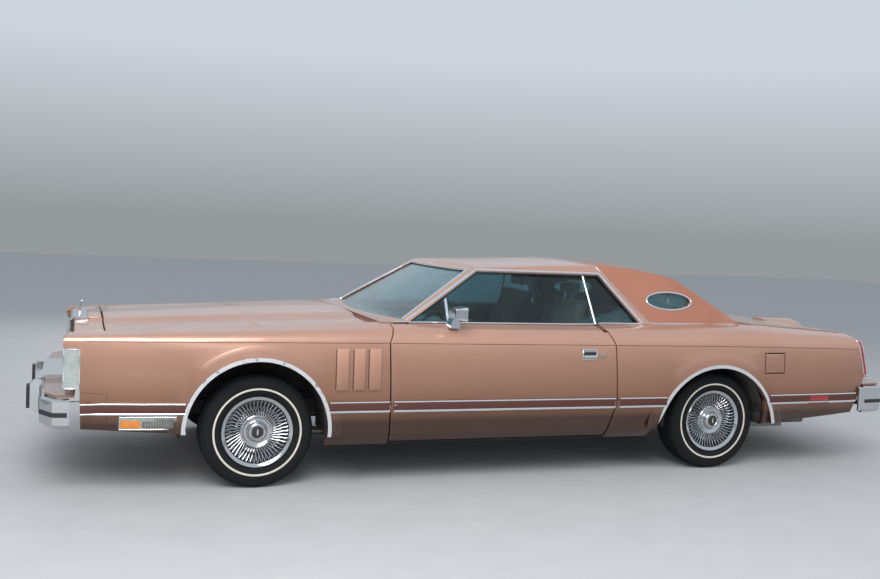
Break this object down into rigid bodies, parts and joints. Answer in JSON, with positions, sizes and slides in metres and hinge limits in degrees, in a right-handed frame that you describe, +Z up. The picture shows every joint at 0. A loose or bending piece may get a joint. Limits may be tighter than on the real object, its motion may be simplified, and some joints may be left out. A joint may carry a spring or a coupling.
{
  "type": "luxury coupe",
  "caption": "Long two-door luxury coupe with opening doors, hood, trunk lid and lamp covers, steered front wheels and four rolling wheels.",
  "frame": {"origin": "on the ground under the middle of the car's length and width", "axes": "+X the way it drives, +Y its left side, +Z up"},
  "size_m": [5.85, 2.13, 1.3486],
  "materials": {
    "paint": "metallic copper rose gloss",
    "vinyl": "grained roof vinyl",
    "glass": "tinted",
    "chrome": "polished",
    "rubber": "matte",
    "tyre": "matte with a thin pale ring",
    "underbody": "satin black",
    "iron": "painted",
    "steel": "aged",
    "upholstery": "soft grain",
    "interior": "grained",
    "lamp_clear": "ribbed",
    "lamp_red": "ribbed"
  },
  "bodies": {
    "body": {"fender_left": "paint", "fender_right": "paint", "quarter_panel_left": "paint", "quarter_panel_right": "paint", "steel_roof": "paint", "header_panel": "paint", "cowl": "paint", "rear_deck": "paint", "rear_panel": "paint", "fender_vents": "paint", "vinyl_roof": "vinyl", "windshield": "glass", "rear_window": "glass", "side_glass": "glass", "grille": "chrome", "front_bumper": "chrome", "rear_bumper": "chrome", "side_trim": "chrome", "bumper_pads": "rubber", "chassis_frame": "underbody", "floor_pan": "underbody", "wheelhouses": "underbody", "door_hinges": "underbody", "rear_axle": "underbody", "front_suspension": "underbody", "fuel_tank": "underbody", "engine": "iron", "exhaust": "steel", "front_seat": "upholstery", "rear_seat": "upholstery", "dashboard": "interior", "headlamps": "lamp_clear", "turn_lamps": "lamp_clear", "cornering_lamps": "lamp_clear", "tail_lamps": "lamp_red"},
    "door_left": {"door_left": "paint", "door_glass_left": "glass", "door_trim_left": "chrome"},
    "door_right": {"door_right": "paint", "door_glass_right": "glass", "door_trim_right": "chrome"},
    "hood": {"hood": "paint"},
    "trunk_lid": {"trunk_lid": "paint"},
    "fuel_door": {"fuel_door": "paint"},
    "headlamp_doors": {"headlamp_doors": "paint"},
    "steering_wheel": {"steering_wheel": "interior"},
    "knuckle_left": {"knuckle_left": "underbody"},
    "knuckle_right": {"knuckle_right": "underbody"},
    "wheel_front_left": {"wheel_front_left": "chrome", "tyre_front_left": "tyre"},
    "wheel_front_right": {"wheel_front_right": "chrome", "tyre_front_right": "tyre"},
    "wheel_rear_left": {"wheel_rear_left": "chrome", "tyre_rear_left": "tyre"},
    "wheel_rear_right": {"wheel_rear_right": "chrome", "tyre_rear_right": "tyre"}
  },
  "joints": [
    {"name": "door_left_swing", "type": "hinge", "parent": "body", "child": "door_left", "pos_m": [0.85, 0.982, 0.6], "axis": [0, 0, -1], "range_deg": [0, 62]},
    {"name": "door_right_swing", "type": "hinge", "parent": "body", "child": "door_right", "pos_m": [0.85, -0.982, 0.6], "axis": [0, 0, 1], "range_deg": [0, 62]},
    {"name": "hood_lift", "type": "hinge", "parent": "body", "child": "hood", "pos_m": [0.985, 0, 0.9], "axis": [0, -1, 0], "range_deg": [0, 48]},
    {"name": "trunk_lift", "type": "hinge", "parent": "body", "child": "trunk_lid", "pos_m": [-1.68, 0, 0.925], "axis": [0, 1, 0], "range_deg": [0, 65]},
    {"name": "fuel_door_swing", "type": "hinge", "parent": "body", "child": "fuel_door", "pos_m": [-1.726, 0.97313, 0.724], "axis": [0, 0, -1], "range_deg": [0, 90]},
    {"name": "headlamp_cover_turn", "type": "hinge", "parent": "body", "child": "headlamp_doors", "pos_m": [2.56, 0, 0.69], "axis": [0, -1, 0], "range_deg": [0, 90]},
    {"name": "steer_left", "type": "hinge", "parent": "body", "child": "knuckle_left", "pos_m": [1.679, 0.7, 0.324], "axis": [0, 0, 1], "range_deg": [-35, 35]},
    {"name": "steer_right", "type": "hinge", "parent": "body", "child": "knuckle_right", "pos_m": [1.679, -0.7, 0.324], "axis": [0, 0, 1], "range_deg": [-35, 35]},
    {"name": "steering_wheel_turn", "type": "hinge", "parent": "body", "child": "steering_wheel", "pos_m": [0.33, 0.4, 0.9], "axis": [-0.9063, 0, 0.4226], "range_deg": [-580, 580]},
    {"name": "wheel_front_left_roll", "type": "hinge", "parent": "knuckle_left", "child": "wheel_front_left", "pos_m": [1.679, 0.8025, 0.324], "axis": [0, 1, 0], "continuous": true},
    {"name": "wheel_front_right_roll", "type": "hinge", "parent": "knuckle_right", "child": "wheel_front_right", "pos_m": [1.679, -0.8025, 0.324], "axis": [0, 1, 0], "continuous": true},
    {"name": "wheel_rear_left_roll", "type": "hinge", "parent": "body", "child": "wheel_rear_left", "pos_m": [-1.379, 0.795, 0.324], "axis": [0, 1, 0], "continuous": true},
    {"name": "wheel_rear_right_roll", "type": "hinge", "parent": "body", "child": "wheel_rear_right", "pos_m": [-1.379, -0.795, 0.324], "axis": [0, 1, 0], "continuous": true}
  ],
  "couplings": [
    {"joint": "steer_right", "follows": "steer_left", "ratio": 1},
    {"joint": "steering_wheel_turn", "follows": "steer_left", "ratio": 16.5}
  ]
}
